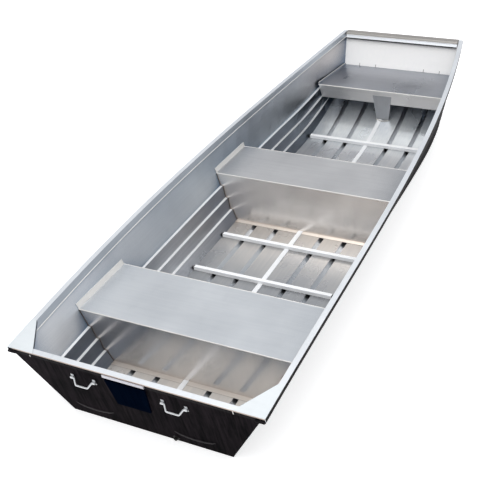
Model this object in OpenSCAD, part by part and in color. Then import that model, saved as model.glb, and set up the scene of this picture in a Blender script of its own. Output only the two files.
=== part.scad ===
// Open sheet-aluminium jon boat: raked transom, square bow, stepped flared sides,
// four pressed V-ribs under the floor, two bench seats and a short bow deck.
// X runs forward, Y to port and Z up. Stations are measured forward from the aft
// edge of the transom cap, heights upward from the inner face of the floor sheet.

/* [Hull] */
// Length from the transom cap to the bow cap
hull_length = 3660; // [3400:10:4000]
// Widest beam over the gunwales
beam = 1348; // [1280:2:1420]
// Beam over the gunwales at the bow
bow_beam = 870; // [800:2:920]
// Station where the gunwales start to draw in
taper_start = 200; // [0:10:600]
// Fullness of the gunwale's curve in plan
taper_power = 2.75; // [2:0.05:3.5]
// Width of the bottom between the chines
bottom_width = 860; // [800:2:920]
// Width of the bottom at the foot of the bow panel
bow_bottom_width = 770; // [720:2:800]
// Station where the chines start to draw in
chine_taper_start = 2400; // [2000:10:2700]
// Thickness of the hull sheet
sheet = 2; // [1.5:0.1:3]

/* [Sheer and ends] */
// Height of the gunwale at the stern
stern_depth = 366; // [345:1:400]
// Height of the gunwale at the bow
bow_depth = 490; // [470:1:515]
// Lift of the sheer curve's aft handle above the stern
sheer_aft_lift = 106; // [80:1:130]
// Drop of the sheer curve's fore handle below the bow
sheer_fore_drop = 105; // [80:1:130]
// Horizontal run of the transom's rake from gunwale to floor
transom_run = 74; // [40:1:100]
// Horizontal run of the bow panel from its foot to the gunwale
bow_run = 164; // [120:1:200]
// Height of the bow panel's foot
bow_rise = 200; // [160:1:230]
// Length over which the bottom rises to the bow panel
rise_length = 734; // [650:2:800]

/* [Sides and bottom ribs] */
// Width of each ledge pressed into the sides
ledge_width = 16; // [10:1:20]
// Width that the ledges keep at the bow
ledge_end = 1; // [0.5:0.5:4]
// Length over which the ledges fade out around the bow deck's aft edge
ledge_fade = 160; // [100:10:300]
// Depth of the V-ribs pressed into the bottom
rib_depth = 24; // [16:1:30]
// Width of each V-rib
rib_width = 30; // [24:1:40]
// Offset of the inner V-ribs from the centreline
inner_rib_offset = 147; // [120:1:170]
// Offset of the outer V-ribs from the centreline
outer_rib_offset = 292; // [260:1:310]
// Length over which the V-ribs fade out at the bow
rib_fade = 420; // [300:10:600]
// Width of the centre strip on the floor
keelson_width = 28; // [20:1:40]
// Height of the centre strip
keelson_height = 3; // [2:0.5:5]

/* [Gunwale and caps] */
// Width of the gunwale channel
gunwale_width = 28; // [24:1:36]
// How far the gunwale stands proud of the side sheet
gunwale_overhang = 20; // [16:1:24]
// Height of the gunwale's inner lip
inner_lip = 32; // [24:1:38]
// Height of the gunwale's outer lip
outer_lip = 25; // [18:1:32]
// Wall of the gunwale and of the caps
rail_wall = 2; // [1.5:0.1:3]
// Width of the transom cap
cap_width = 30; // [24:1:40]
// Width of the bow cap
bow_cap_width = 34; // [24:1:40]
// Height of the bow cap's inner lip
bow_lip = 40; // [30:1:48]
// How far the transom's edges stand past the side sheets
transom_edge = 8; // [4:1:12]
// Length of a corner gusset along the transom
gusset_across = 150; // [120:1:200]
// Length of a corner gusset along the gunwale
gusset_along = 200; // [160:1:240]
// Depth of the gusset's turned-down flange
gusset_flange = 20; // [12:1:30]

/* [Benches] */
// Height of the bench tops
bench_height = 280; // [250:1:300]
// Station of the rear bench's aft foot
rear_bench_station = 425; // [400:1:500]
// Length of the rear bench's top
rear_bench_length = 414; // [300:1:430]
// How far the rear bench's panels lean in from foot to top
rear_bench_lean = 20; // [10:1:50]
// How far the middle bench stands ahead of midway between the rear bench and the bow deck
mid_bench_shift = 14; // [-60:1:60]
// Length of the middle bench's top
mid_bench_length = 352; // [280:1:400]
// How far the middle bench's panels lean in from foot to top
mid_bench_lean = 52; // [10:1:60]
// Width of the flanges that the bench panels stand on
foot_flange = 28; // [20:1:40]
// Height of the upturned flanges at the ends of the bench tops
end_flange = 25; // [18:1:32]

/* [Floor bars] */
// Distance of the aft floor bar from the middle bench's aft foot
aft_bar_distance = 540; // [480:2:600]
// Distance of the middle floor bar from the middle bench's aft foot
mid_bar_distance = 186; // [120:2:240]
// Distance of the fore floor bar from the bow deck
fore_bar_distance = 270; // [200:2:320]
// Clearance of the aft and middle floor bars from the chines
bar_end_gap = 6; // [4:1:20]
// Clearance of the fore floor bar from the chines
fore_bar_end_gap = 13; // [6:1:40]
// Width of a floor bar
floor_bar_width = 25; // [20:1:35]
// Height of a floor bar
floor_bar_height = 20; // [14:1:26]

/* [Bow deck] */
// Length of the bow deck along the centreline
deck_length = 360; // [300:2:420]
// Height of the bow deck
deck_height = 280; // [265:1:300]
// Clearance of the deck from the side sheets
deck_gap = 8; // [3:1:20]
// Height of the deck's upturned edges
deck_edge = 12; // [8:1:25]
// Depth of the deck's fascia
fascia_depth = 92; // [70:1:110]
// Width of the centre bracket at its top
bracket_top_width = 134; // [120:1:180]
// Width of the centre bracket at its foot
bracket_foot_width = 86; // [70:1:110]
// Offset of the centre bracket to starboard
bracket_offset = 20; // [0:1:30]
// How far the centre bracket starts below the deck
bracket_drop = 35; // [20:1:50]
// Depth of the centre bracket's side flanges
bracket_flange = 30; // [20:1:40]

/* [Transom fittings] */
// Width of the motor pad at its top
pad_top_width = 215; // [180:1:240]
// Width of the motor pad at its foot
pad_foot_width = 180; // [150:1:210]
// Height of the motor pad
pad_height = 175; // [150:1:200]
// Thickness of the motor pad
pad_thickness = 8; // [5:1:15]
// How far the motor pad starts below the transom's edge
pad_drop = 36; // [30:1:50]
// Offset of the motor pad to port, with the handles on either side of it
fittings_offset = 28; // [0:1:40]
// Distance of the lifting handles from the middle of the motor pad
handle_offset = 243; // [200:1:300]
// How far the handles' feet lie below the transom's edge
handle_drop = 92; // [70:1:110]
// Distance between the feet of a handle
handle_span = 120; // [100:1:150]
// Length of a handle's grip
handle_grip = 66; // [50:1:75]
// Distance of the grip from the handle's feet
handle_reach = 31; // [20:1:40]
// Diameter of the handle rod
handle_rod = 9; // [7:0.5:11]
// Droop of the handles below square
handle_droop = 40; // [0:1:50]
// Diameter of the drain plug's flange
plug_diameter = 34; // [28:1:40]
// Height of the drain plug's middle above the ground
plug_rise = 23; // [20:1:40]
// Thickness of the drain plug's flange
plug_flange = 3; // [2:0.5:5]
// Length of the drain plug's head
plug_head = 12; // [6:1:16]

/* [Hidden] */
$fn = 48;

// Clearance between pieces that are seated on each other
seat = 0.3;
// Clearance of the benches' edges from the side sheets
edge_gap = 3;
// Clearance of the notches on either side of the centre strip
notch_gap = 2;
// Clearance of a handle's rod from the plate behind it
rod_gap = 3;

// Pressed ledges of the side sheet: share of the side's height, share of its flare
LEDGES = [
    [0.143, 0.149],
    [0.307, 0.315],
    [0.472, 0.486]
];
LEDGE_RISE = 0;
LEDGE_OUT = 1;

RIB_OFFSETS = [-outer_rib_offset, -inner_rib_offset, inner_rib_offset, outer_rib_offset];

// The floor sheet lies above the ground by the V-ribs and its own thickness
floor_height = rib_depth + sheet;
transom_rake = atan(transom_run / stern_depth);
cap_overhang = rail_wall / cos(transom_rake);

// Stations of the planes in which the side sheets end
aft_top = cap_overhang + sheet / cos(transom_rake);
aft_floor = aft_top + transom_run;
bow_top = hull_length - 2 * rail_wall - 2 * sheet;
bow_foot = bow_top - bow_run;
rise_start = bow_foot - rise_length;
bow_lean = atan(bow_run / (bow_depth - bow_rise));
deck_aft = bow_foot + (deck_height - bow_rise) * tan(bow_lean) - deck_length;
bracket_aft = deck_aft - sheet;

// Benches: station of the aft foot, length of the top, lean of the panels
rear_bench_fore = rear_bench_station + rear_bench_length + 2 * rear_bench_lean;
mid_bench_middle = (rear_bench_fore + deck_aft) / 2 + mid_bench_shift;
mid_bench_station = mid_bench_middle - mid_bench_length / 2 - mid_bench_lean;
BENCHES = [
    [rear_bench_station, rear_bench_length, rear_bench_lean],
    [mid_bench_station, mid_bench_length, mid_bench_lean]
];
BENCH_STATION = 0;
BENCH_LENGTH = 1;
BENCH_LEAN = 2;

// Floor bars: station, clearance of the ends from the chines
BARS = [
    [mid_bench_station - aft_bar_distance, bar_end_gap],
    [mid_bench_station - mid_bar_distance, bar_end_gap],
    [deck_aft - fore_bar_distance, fore_bar_end_gap]
];
BAR_STATION = 0;
BAR_GAP = 1;

// The handles reach aft of the transom cap, so the middle of the part lies aft of the hull's
clip_height = handle_rod / 2 + rod_gap;
grip_out = clip_height + handle_reach * cos(handle_droop) + handle_rod / 2;
grip_down = handle_drop + handle_reach * sin(handle_droop);
aft_reach = max(0, grip_out * cos(transom_rake) - grip_down * sin(transom_rake) - cap_overhang);
mid_station = (hull_length - aft_reach) / 2;

function mix(a, b, t) = a + (b - a) * t;
function bezier(p, t) = p[0] * pow(1 - t, 3) + 3 * p[1] * t * pow(1 - t, 2)
    + 3 * p[2] * t * t * (1 - t) + p[3] * pow(t, 3);

// Curves of the hull at a station
SHEER = [stern_depth, stern_depth + sheer_aft_lift, bow_depth - sheer_fore_drop, bow_depth];
stern_slope = atan(3 * sheer_aft_lift / hull_length);
bow_slope = atan(3 * sheer_fore_drop / hull_length);
function sheer(s) = bezier(SHEER, s / hull_length);
function sheet_top(s) = sheer(s) - rail_wall;
function past(s, start, end) = max(0, (s - start) / (end - start));
function half_beam(s) =
    mix(beam, bow_beam, pow(past(s, taper_start, hull_length), taper_power)) / 2;
function half_bottom(s) =
    mix(bottom_width, bow_bottom_width, pow(past(s, chine_taper_start, bow_foot), 2)) / 2;
function floor_z(s) = bow_rise * pow(past(s, rise_start, bow_foot), 2);
function floor_slope(s) = atan(2 * bow_rise * past(s, rise_start, bow_foot) / rise_length);
function rib_share(s) = 1 - min(1, past(s, bow_foot - rib_fade, bow_foot));

// A frame runs from the chine to the top of the side sheet, raked as the ends are
function chine_station(u) = mix(aft_floor, bow_foot, u);
function top_station(u) = mix(aft_top, bow_top, u);
function chine_z(u) = floor_z(chine_station(u));
function side_height(u) = sheet_top(top_station(u)) - chine_z(u);
function frame_x(u, rise) = mix(chine_station(u), top_station(u), rise) - mid_station;
function frame_y(u, out) =
    mix(half_bottom(chine_station(u)), half_beam(top_station(u)) - gunwale_overhang, out);
function frame_z(u, rise) = floor_height + chine_z(u) + side_height(u) * rise;
function flare(u) = frame_y(u, 1) - frame_y(u, 0);
function ledge_share(u) =
    let (fade = min(1, past(chine_station(u), deck_aft - ledge_fade / 2, deck_aft + ledge_fade / 2)))
    mix(ledge_width, ledge_end, fade) / flare(u);

// Frames of the straight bottom, of its rise to the bow deck's bracket and of the bow
STRAIGHT_FRAMES = 18;
RISE_FRAMES = 7;
BOW_FRAMES = 7;
function frame_of(s) = (s - aft_floor) / (bow_foot - aft_floor);
function frames(from, to, count) = [for (i = [1:count]) mix(from, to, i / count)];
TO_BRACKET = concat(
    [0],
    frames(0, frame_of(rise_start), STRAIGHT_FRAMES),
    frames(frame_of(rise_start), frame_of(bracket_aft - seat), RISE_FRAMES)
);
STATIONS = concat(TO_BRACKET, frames(frame_of(bracket_aft - seat), 1, BOW_FRAMES));

// Frame, share of height and width of the side at a station and a height
function rise_at(u, z) = (z - chine_z(u)) / side_height(u);
function frame_near(s, rise) =
    let (aft = mix(aft_floor, aft_top, rise), fore = mix(bow_foot, bow_top, rise))
    (s - aft) / (fore - aft);
function frame_at(s, z) =
    let (first = frame_near(s, (z - floor_z(s)) / (sheet_top(s) - floor_z(s))))
    frame_near(s, rise_at(first, z));
function straight_side(s, z) =
    let (u = frame_at(s, z))
    frame_y(u, rise_at(u, z));
function top_ledge_out(u) = LEDGES[2][LEDGE_OUT] + ledge_share(u);
function upper_side(s, z) =
    let (u = frame_at(s, z), share = past(rise_at(u, z), LEDGES[2][LEDGE_RISE], 1))
    frame_y(u, mix(top_ledge_out(u), 1, share));
function upper_flare(u) = flare(u) * (1 - top_ledge_out(u))
    / (side_height(u) * (1 - LEDGES[2][LEDGE_RISE]));

// Solid skinned over equal rings of points. The second half of a ring runs back along
// the first half, so each end closes with a strip between the two, and both faces of a
// twisted sheet are split along the same diagonal.
module loft(rings) {
    n = len(rings[0]);
    last = n * (len(rings) - 1);
    sides = [
        for (i = [0:len(rings) - 2], j = [0:n - 1])
        let (a = i * n + j, b = i * n + (j + 1) % n)
        each j < n / 2
            ? [[a, b, b + n], [a, b + n, a + n]]
            : [[a, b, a + n], [b, b + n, a + n]]
    ];
    ends = [
        for (j = [0:n / 2 - 2])
        let (k = n - 1 - j)
        each [
            [j, k - 1, j + 1], [j, k, k - 1],
            [last + j, last + j + 1, last + k - 1], [last + j, last + k - 1, last + k]
        ]
    ];
    polyhedron([for (ring = rings) each ring], concat(sides, ends));
}

// Outline in Y and height, carried along X between two stations
module cross_block(outline, from, to) {
    translate([from - mid_station, 0, floor_height])
        rotate([90, 0, 90])
            linear_extrude(to - from)
                polygon(outline);
}

// Outline in station and height, carried across the boat
module long_block(width) {
    translate([-mid_station, 0, floor_height])
        rotate([90, 0, 0])
            linear_extrude(width, center = true)
                children();
}

// Frame on the transom's outer face: X inward, Z up along the plate from its edge
module on_transom() {
    translate([cap_overhang - mid_station, 0, floor_height + stern_depth - rail_wall])
        rotate([0, -transom_rake, 0])
            children();
}

// Frame on the bow panel's inner face: X outward, Z up along the plate from its foot
module on_bow() {
    translate([bow_foot - mid_station, 0, floor_height + bow_rise])
        rotate([0, bow_lean, 0])
            children();
}

// Hull sheets

function bottom_profile(u) =
    let (half = half_bottom(chine_station(u)), depth = rib_depth * rib_share(chine_station(u)))
    concat(
        [[-half, 0]],
        [for (y = RIB_OFFSETS) each
            [[y - rib_width / 2, 0], [y, -depth], [y + rib_width / 2, 0]]],
        [[half, 0]]
    );

function bottom_ring(u) =
    let (upper = bottom_profile(u), n = len(upper))
    concat(
        [for (p = upper) bottom_point(u, p[0], p[1] - sheet)],
        [for (i = [n - 1:-1:0]) bottom_point(u, upper[i][0], upper[i][1])]
    );

function bottom_point(u, y, drop) =
    let (rise = drop / side_height(u))
    [frame_x(u, rise), y, frame_z(u, rise)];

module hull_bottom() {
    color("lightgray")
        loft([for (u = STATIONS) bottom_ring(u)]);
}

function side_profile(u) = concat(
    [[0, 0]],
    [for (ledge = LEDGES) each [
        [ledge[LEDGE_RISE], ledge[LEDGE_OUT]],
        [ledge[LEDGE_RISE], ledge[LEDGE_OUT] + ledge_share(u)]
    ]],
    [[1, 1]]
);

// The inner face lies inboard of the outer one and above it, square to walls and ledges alike
side_offset = 0.75 * sheet;
function side_ring(u) =
    let (
        outer = side_profile(u),
        n = len(outer),
        up = side_offset / side_height(u),
        in = side_offset / flare(u)
    )
    [
        for (p = outer) side_point(u, p[0], p[1]),
        for (i = [n - 1:-1:0])
            i == 0 || i == n - 1
                ? side_point(u, outer[i][0], outer[i][1] - 1.5 * in)
                : side_point(u, outer[i][0] + up, outer[i][1] - in)
    ];

function side_point(u, rise, out) = [frame_x(u, rise), frame_y(u, out), frame_z(u, rise)];

module hull_side() {
    color("gainsboro")
        loft([for (u = STATIONS) side_ring(u)]);
}

module hull_side_port() {
    hull_side();
}

module hull_side_starboard() {
    mirror([0, 1, 0])
        hull_side();
}

// Outline of an end panel, along the plate from the gunwale's edge downward
module end_outline(u, stretch, foot_drop, edge) {
    tall = side_height(u) * stretch + foot_drop;
    foot = frame_y(u, 0) + edge;
    top = frame_y(u, 1) + edge;
    polygon([[-foot, -tall], [foot, -tall], [top, 0], [-top, 0]]);
}

module transom_panel() {
    stretch = 1 / cos(transom_rake);
    color("dimgray")
        on_transom()
            rotate([90, 0, 90])
                linear_extrude(sheet)
                    end_outline(0, stretch, floor_height * stretch, transom_edge);
}

module bow_panel() {
    stretch = 1 / cos(bow_lean);
    color("gainsboro")
        on_bow()
            translate([0, 0, side_height(1) * stretch])
                rotate([90, 0, 90])
                    linear_extrude(sheet)
                        end_outline(1, stretch, sheet * stretch, 0);
}

// Gunwale channel, open below, its inner lip leaning with the side sheet
function gunwale_ring(u) =
    let (
        top = side_height(u) + rail_wall,
        lean = upper_flare(u) * inner_lip,
        inboard = gunwale_overhang - gunwale_width,
        section = [
            [inboard - lean, -inner_lip],
            [inboard, 0],
            [gunwale_overhang, 0],
            [gunwale_overhang, -outer_lip],
            [gunwale_overhang - rail_wall, -outer_lip],
            [gunwale_overhang - rail_wall, -rail_wall],
            [inboard + rail_wall, -rail_wall],
            [inboard + rail_wall - lean, -inner_lip]
        ]
    )
    [for (i = [len(section) - 1:-1:0])
        let (p = section[i], rise = (top + p[1]) / side_height(u))
        [frame_x(u, rise), frame_y(u, 1) + p[0], frame_z(u, rise)]];

module gunwale() {
    color("silver")
        loft([for (u = STATIONS) gunwale_ring(u)]);
}

module gunwale_port() {
    gunwale();
}

module gunwale_starboard() {
    mirror([0, 1, 0])
        gunwale();
}

// Caps on the end panels: channel between the gunwales, its outer lip across the full beam

// A lip starts inside the cap's top sheet
module cap_lip(lean, depth) {
    rotate(lean)
        translate([0, -depth])
            square([rail_wall, depth + rail_wall / 2]);
}

// Room between the inner lips of the gunwales at an end
module between_lips(u, lip, from, to) {
    half = frame_y(u, 1) + gunwale_overhang - gunwale_width - seat;
    top = chine_z(u) + side_height(u) + 3 * rail_wall;
    low = top - 2 * lip;
    narrow = upper_flare(u) * 2 * lip;
    cross_block([[-half + narrow, low], [half - narrow, low], [half, top], [-half, top]], from, to);
}

module transom_cap() {
    top = stern_depth - rail_wall;
    span = 2 * half_beam(0);
    color("silver") {
        long_block(span)
            translate([0, top])
                cap_lip(transom_rake, outer_lip);
        intersection() {
            long_block(span)
                translate([0, top]) {
                    rotate(stern_slope)
                        square([cap_width, rail_wall]);
                    translate([(cap_width - rail_wall) * cos(stern_slope), cap_width * sin(stern_slope)])
                        cap_lip(transom_rake, inner_lip);
                }
            between_lips(0, inner_lip, 0, 3 * cap_width);
        }
    }
}

module bow_cap() {
    top = bow_depth - rail_wall;
    span = 2 * half_beam(bow_top);
    bow_face = bow_top + sheet / cos(bow_lean);
    color("silver") {
        long_block(span)
            translate([bow_face, top])
                cap_lip(-bow_lean, outer_lip);
        intersection() {
            long_block(span)
                translate([hull_length, top]) {
                    rotate(bow_slope)
                        translate([-bow_cap_width, 0])
                            square([bow_cap_width, rail_wall]);
                    translate([-bow_cap_width * cos(bow_slope), -bow_cap_width * sin(bow_slope)])
                        cap_lip(-bow_lean, bow_lip);
                }
            between_lips(1, bow_lip, bow_top - 3 * bow_cap_width, hull_length);
        }
    }
}

// Corner gusset lying on the gunwale and the transom cap, its free edge turned down
module gusset() {
    touch = gusset_along / 2;
    slope = atan((sheer(touch + 1) - sheer(touch - 1)) / 2);
    corner = half_beam(0);
    diagonal = norm([gusset_along, gusset_across]);
    inset = 0.3 * diagonal;
    color("silver")
        translate([touch - mid_station, 0, floor_height + sheer(touch) + seat])
            rotate([0, -slope, 0])
                translate([-touch, 0, 0]) {
                    linear_extrude(sheet)
                        polygon([
                            [0, corner],
                            [0, corner - gusset_across],
                            [gusset_along, corner - gunwale_width],
                            [gusset_along, half_beam(gusset_along)]
                        ]);
                    translate([0, corner - gusset_across, sheet / 2])
                        rotate([0, 0, atan((gusset_across - gunwale_width) / gusset_along)])
                            translate([inset, sheet / 2, -gusset_flange])
                                cube([diagonal - 2.4 * inset, sheet, gusset_flange]);
                }
}

module gusset_port() {
    gusset();
}

module gusset_starboard() {
    mirror([0, 1, 0])
        gusset();
}

// Floor

function keelson_ring(u) =
    let (half = keelson_width / 2, rise = keelson_height / side_height(u))
    [
        [frame_x(u, 0), -half, frame_z(u, 0)],
        [frame_x(u, 0), half, frame_z(u, 0)],
        [frame_x(u, rise), half, frame_z(u, rise)],
        [frame_x(u, rise), -half, frame_z(u, rise)]
    ];

module keelson() {
    color("white")
        loft([for (u = TO_BRACKET) keelson_ring(u)]);
}

// Room for the centre strip under what crosses it
module keelson_notch(length) {
    room = keelson_height + 2 * seat;
    width = keelson_width + 2 * notch_gap;
    translate([-length / 2, -width / 2, -room])
        cube([length, width, 2 * room]);
}

module floor_bar(index) {
    s = BARS[index][BAR_STATION];
    half = half_bottom(s) - BARS[index][BAR_GAP];
    bore = half + sheet;
    lift = floor_z(s) > 0 ? 2 * seat : 0;
    color("white")
        translate([s - mid_station, 0, floor_height + floor_z(s) + lift])
            rotate([0, -floor_slope(s), 0])
                difference() {
                    translate([-floor_bar_width / 2, -half, 0])
                        cube([floor_bar_width, 2 * half, floor_bar_height]);
                    translate([sheet - floor_bar_width / 2, -bore, sheet])
                        cube([floor_bar_width - 2 * sheet, 2 * bore, floor_bar_height - 2 * sheet]);
                    keelson_notch(2 * floor_bar_width);
                }
}

module floor_bar_aft() {
    floor_bar(0);
}

module floor_bar_mid() {
    floor_bar(1);
}

module floor_bar_fore() {
    floor_bar(2);
}

// Benches

function bench_station(bench) = BENCHES[bench][BENCH_STATION];
function bench_lean(bench) = BENCHES[bench][BENCH_LEAN];
function bench_top_aft(bench) = bench_station(bench) + bench_lean(bench);
function bench_top_fore(bench) = bench_top_aft(bench) + BENCHES[bench][BENCH_LENGTH];
function bench_fore_foot(bench) = bench_top_fore(bench) + bench_lean(bench);

// Ring of a sheet with upturned edges, given their height and the half width at their foot and top
function flanged_ring(s, z, edge, low, high) =
    let (
        x = s - mid_station,
        base = floor_height + z
    )
    [
        [x, high - sheet, base + edge],
        [x, low - sheet, base],
        [x, sheet - low, base],
        [x, sheet - high, base + edge],
        [x, -high, base + edge],
        [x, -low, base - sheet],
        [x, low, base - sheet],
        [x, high, base + edge]
    ];

// The bench tops lie along the upper side sheets
function bench_ring(s) = flanged_ring(
    s, bench_height, end_flange,
    upper_side(s, bench_height) - edge_gap,
    upper_side(s, bench_height + end_flange) - edge_gap
);

module bench_top(bench) {
    color("gainsboro")
        loft([bench_ring(bench_top_aft(bench)), bench_ring(bench_top_fore(bench))]);
}

// Half outline of a panel across the boat, stepped over the ledges
function panel_half(s, base, top) = [
    [straight_side(s, base) - edge_gap, base],
    for (ledge = LEDGES)
        let (
            u = frame_near(s, ledge[LEDGE_RISE]),
            z = chine_z(u) + side_height(u) * ledge[LEDGE_RISE] + side_offset + seat
        )
        each [
            [frame_y(u, ledge[LEDGE_OUT]) - edge_gap, z],
            [frame_y(u, ledge[LEDGE_OUT] + ledge_share(u)) - edge_gap, z]
        ],
    [upper_side(s, top) - edge_gap, top]
];
function mirrored(half) = concat(half, [for (i = [len(half) - 1:-1:0]) [-half[i][0], half[i][1]]]);

// Leaning panel with a foot flange
module bench_panel(foot, fore_edge, full_lean, dir) {
    base = floor_z(dir < 0 ? fore_edge : foot);
    top = bench_height - sheet;
    lean = full_lean * top / bench_height;
    reach = foot_flange + full_lean + sheet;
    color("silver")
        difference() {
            intersection() {
                long_block(beam)
                    translate([foot, 0])
                        scale([dir, 1])
                            polygon([
                                [-foot_flange, base],
                                [sheet, base],
                                [lean + sheet, top],
                                [lean, top],
                                [0, base + sheet],
                                [-foot_flange, base + sheet]
                            ]);
                cross_block(mirrored(panel_half(fore_edge, base, top)), foot - reach, foot + reach);
            }
            translate([foot - mid_station, 0, floor_height + base])
                keelson_notch(4 * foot_flange);
        }
}

module bench_aft_panel(bench) {
    bench_panel(bench_station(bench), bench_top_aft(bench) + sheet, bench_lean(bench), 1);
}

module bench_fore_panel(bench) {
    bench_panel(bench_fore_foot(bench), bench_fore_foot(bench) + foot_flange, bench_lean(bench), -1);
}

module rear_bench_top() {
    bench_top(0);
}

module rear_bench_aft_panel() {
    bench_aft_panel(0);
}

module rear_bench_fore_panel() {
    bench_fore_panel(0);
}

module mid_bench_top() {
    bench_top(1);
}

module mid_bench_aft_panel() {
    bench_aft_panel(1);
}

module mid_bench_fore_panel() {
    bench_fore_panel(1);
}

// Bow deck with side flanges, its fascia and the flange that fastens it to the bow panel

deck_fore = deck_aft + deck_length - sheet * tan(bow_lean) - seat;

// The deck lies along the straight sides ahead of the ledges
function deck_ring(s) = flanged_ring(
    s, deck_height, deck_edge,
    straight_side(s, deck_height) - deck_gap,
    straight_side(s, deck_height + deck_edge) - deck_gap
);

module bow_deck() {
    color("silver")
        loft([deck_ring(deck_aft), deck_ring(deck_fore)]);
}

module bow_deck_fascia() {
    top = deck_height - sheet;
    foot = deck_height - fascia_depth;
    wide = straight_side(deck_aft, top) - deck_gap;
    narrow = straight_side(deck_aft, foot) - deck_gap;
    color("silver")
        cross_block(
            [[-narrow, foot], [narrow, foot], [wide, top], [-wide, top]],
            deck_aft, deck_aft + sheet
        );
}

module bow_deck_flange() {
    half = straight_side(deck_fore, deck_height) - deck_gap - end_flange;
    color("silver")
        on_bow()
            translate([-sheet, -half, (deck_height - bow_rise) / cos(bow_lean)])
                cube([sheet, 2 * half, end_flange]);
}

// Tapered channel that props the deck's fascia on the floor, its plate lapping the fascia
module bow_deck_bracket() {
    top = deck_height - bracket_drop;
    under = deck_height - fascia_depth - seat;
    foot = floor_z(bracket_aft) + seat;
    slope = tan(floor_slope(bracket_aft + bracket_flange));
    taper = (bracket_top_width - bracket_foot_width) / 2 / (top - foot);
    half_foot = bracket_foot_width / 2 - taper * foot;
    half_under = half_foot + taper * under;
    half_top = bracket_top_width / 2;
    fore = bracket_aft + bracket_flange;
    color("silver")
        translate([0, -bracket_offset, 0])
            difference() {
                cross_block(
                    [[-half_foot, 0], [half_foot, 0], [half_top, top], [-half_top, top]],
                    bracket_aft, fore
                );
                cross_block(
                    [
                        [sheet - half_foot, -sheet], [half_foot - sheet, -sheet],
                        [half_under - sheet, under], [half_top + sheet, under],
                        [half_top + sheet, top + sheet], [-half_top - sheet, top + sheet],
                        [-half_top - sheet, under], [sheet - half_under, under]
                    ],
                    bracket_aft + sheet, fore + sheet
                );
                long_block(2 * bracket_top_width)
                    polygon([
                        [bracket_aft - sheet, -2 * sheet],
                        [fore + sheet, -2 * sheet],
                        [fore + sheet, foot + slope * (bracket_flange + sheet)],
                        [bracket_aft - sheet, foot - slope * sheet]
                    ]);
            }
}

// Transom fittings

module motor_pad() {
    half_top = pad_top_width / 2;
    half_foot = pad_foot_width / 2;
    foot = pad_drop + pad_height;
    color("midnightblue")
        on_transom()
            translate([-pad_thickness, fittings_offset, 0])
                rotate([90, 0, 90])
                    linear_extrude(pad_thickness)
                        polygon([
                            [-half_foot, -foot],
                            [half_foot, -foot],
                            [half_top, -pad_drop],
                            [-half_top, -pad_drop]
                        ]);
}

module drain_plug() {
    down = (floor_height + stern_depth - rail_wall - plug_rise) / cos(transom_rake);
    color("dimgray")
        on_transom()
            translate([0, -inner_rib_offset, -down])
                rotate([0, -90, 0]) {
                    cylinder(d = plug_diameter, h = plug_flange);
                    cylinder(d = plug_diameter / 2, h = plug_flange + plug_head, $fn = 6);
                }
}

// Round rod bent along points in a plane, as rings along straights and round bends
ROD_SIDES = 12;
BEND_STEPS = 5;
function heading(path, i) = atan2(path[i + 1][1] - path[i][1], path[i + 1][0] - path[i][0]);
function bend_places(path, i, bend) =
    let (
        from = heading(path, i - 1),
        turn = heading(path, i) - from,
        side = sign(turn),
        start = path[i] - bend * tan(abs(turn) / 2) * [cos(from), sin(from)],
        centre = start + side * bend * [-sin(from), cos(from)]
    )
    [for (k = [0:BEND_STEPS])
        let (way = from + turn * k / BEND_STEPS)
        [centre + side * bend * [sin(way), -cos(way)], way]];
function rod_ring(place, way, rod) = [
    for (k = [0:ROD_SIDES - 1])
    let (angle = (k + 0.5) * 360 / ROD_SIDES, out = rod / 2 * cos(angle))
    [place[0] - out * sin(way), place[1] + out * cos(way), rod / 2 * sin(angle)]
];

module bent_rod(path, rod, bend) {
    last = len(path) - 1;
    places = concat(
        [[path[0], heading(path, 0)]],
        [for (i = [1:last - 1]) each bend_places(path, i, bend)],
        [[path[last], heading(path, last - 1)]]
    );
    loft([for (place = places) rod_ring(place[0], place[1], rod)]);
}

// Lifting handle: ends held in two clips, grip standing off the plate
clip_width = 16;
clip_length = 34;
clip_wall = 2;

module handle() {
    tail = (handle_span + clip_width) / 2 + clip_wall;
    leg = (handle_span - clip_width) / 2 - clip_wall;
    grip = handle_grip / 2;
    bend = handle_rod;
    color("silver")
        translate([0, clip_height, 0])
            rotate([-handle_droop, 0, 0])
                bent_rod(
                    [
                        [-tail, 0], [-leg, 0], [-grip, handle_reach],
                        [grip, handle_reach], [leg, 0], [tail, 0]
                    ],
                    handle_rod, bend
                );
}

module handle_clips() {
    saddle = handle_rod / 2 + seat + clip_wall;
    color("lightgray")
        for (side = [-1, 1])
            translate([side * handle_span / 2, 0, 0])
                difference() {
                    union() {
                        translate([-clip_width / 2, 0, -clip_length / 2])
                            cube([clip_width, clip_wall, clip_length]);
                        translate([-clip_width / 2, 0, -saddle])
                            cube([clip_width, clip_height, 2 * saddle]);
                        translate([-clip_width / 2, clip_height, 0])
                            rotate([0, 90, 0])
                                cylinder(r = saddle, h = clip_width);
                    }
                    translate([-clip_width, clip_height, 0])
                        rotate([0, 90, 0])
                            cylinder(d = handle_rod + 2 * seat, h = 2 * clip_width);
                }
}

// Place of a handle on the transom, port or starboard
module at_transom(side) {
    on_transom()
        translate([0, fittings_offset + side * handle_offset, -handle_drop])
            rotate([0, 0, 90])
                children();
}

// Place of the handle on the bow panel's outer face
module at_bow() {
    on_bow()
        translate([sheet, 0, side_height(1) / cos(bow_lean) / 2])
            rotate([0, 0, -90])
                children();
}

module handle_port() {
    at_transom(1)
        handle();
}

module handle_starboard() {
    at_transom(-1)
        handle();
}

module handle_bow() {
    at_bow()
        handle();
}

module handle_clips_port() {
    at_transom(1)
        handle_clips();
}

module handle_clips_starboard() {
    at_transom(-1)
        handle_clips();
}

module handle_clips_bow() {
    at_bow()
        handle_clips();
}

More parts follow.
